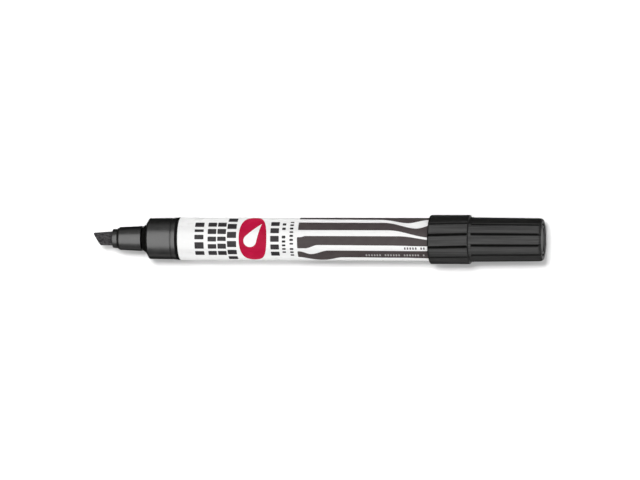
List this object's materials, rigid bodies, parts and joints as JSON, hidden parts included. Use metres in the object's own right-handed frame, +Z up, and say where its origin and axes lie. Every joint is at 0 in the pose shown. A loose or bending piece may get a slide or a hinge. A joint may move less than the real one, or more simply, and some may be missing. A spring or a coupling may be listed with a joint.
{
  "type": "chisel-tip marker",
  "caption": "Broad chisel-tip marker with a round printed barrel and a panelled cap pushed onto its tail.",
  "frame": {"origin": "bottom centre of the bounding box: under the middle of the marker's length, on the surface it lies on", "axes": "+X along the marker from the nib to the cap, +Z up, +Y towards the long point of the slanted nib"},
  "size_m": [0.1528, 0.0164, 0.0164],
  "materials": {
    "felt": "dense pressed fibre, soaked with black ink",
    "black_plastic": "satin moulded plastic with fine lengthwise drawing lines",
    "black_rubber": "matte",
    "white_plastic": "smooth",
    "printed_film": "smooth white film with dark wavy stripes and a red oval",
    "ink_fibre": "bundled fibre, soaked with black ink",
    "clear_film": "thin clear film"
  },
  "bodies": {
    "pen": {"nib": "felt", "nib_holder": "black_plastic", "front_section": "black_plastic", "front_seal_ring": "black_rubber", "barrel_tube": "white_plastic", "printed_sleeve": "printed_film", "ink_reservoir": "ink_fibre", "reservoir_film": "clear_film", "tail_plug": "white_plastic"},
    "cap": {"cap_shell": "black_plastic", "inner_cap": "white_plastic", "cap_end_plug": "black_plastic"}
  },
  "joints": [
    {"name": "cap_pull", "type": "slide", "parent": "pen", "child": "cap", "axis": [1, 0, 0], "range_m": [0, 0.025]}
  ]
}
